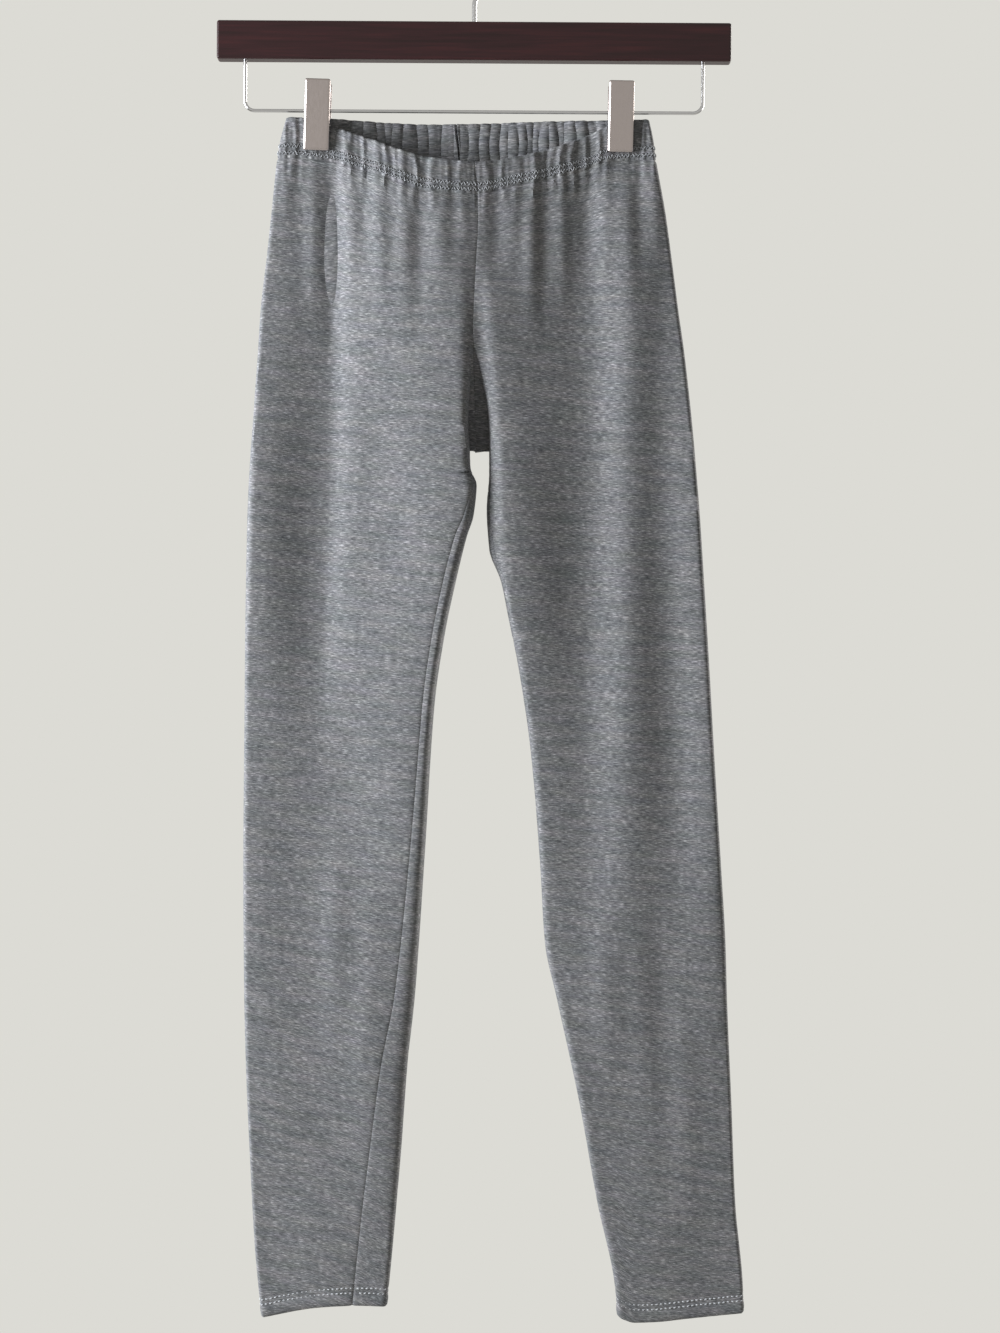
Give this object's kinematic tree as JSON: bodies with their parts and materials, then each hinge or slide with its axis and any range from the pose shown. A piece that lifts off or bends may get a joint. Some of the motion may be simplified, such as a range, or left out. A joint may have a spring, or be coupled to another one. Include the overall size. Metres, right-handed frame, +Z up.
{
  "type": "leggings on a clip hanger",
  "caption": "Long slim jersey leggings with a gathered elastic waist and open hems, hanging flat from the spring clips of a straight wooden hanger with a round hook.",
  "frame": {"origin": "the inner crown of the hook, where the hanger hangs on its rail", "axes": "+Z up, the front of the leggings faces -Y, +X towards the wearer's left"},
  "size_m": [0.3699, 0.0349, 0.9632],
  "materials": {
    "jersey": "heather grey cotton single jersey, soft and matte, with light and dark flecks along the courses",
    "casing": "the same heather jersey gathered over elastic, matte",
    "bar": "dark mahogany stain under a semi-gloss lacquer",
    "wire": "bright chrome-plated steel wire",
    "clip": "satin nickel-plated pressed steel",
    "spring": "plain spring steel"
  },
  "bodies": {
    "root": {"leg_right": "jersey", "leg_left": "jersey", "waistband_right": "casing", "waistband_left": "casing", "hem_right": "jersey", "hem_left": "jersey", "hanger_bar": "bar", "hanger_hook": "wire", "hanger_wire": "wire", "clip_right_front": "clip", "clip_right_back": "clip", "clip_right_spring": "spring", "clip_left_front": "clip", "clip_left_back": "clip", "clip_left_spring": "spring"}
  },
  "joints": []
}
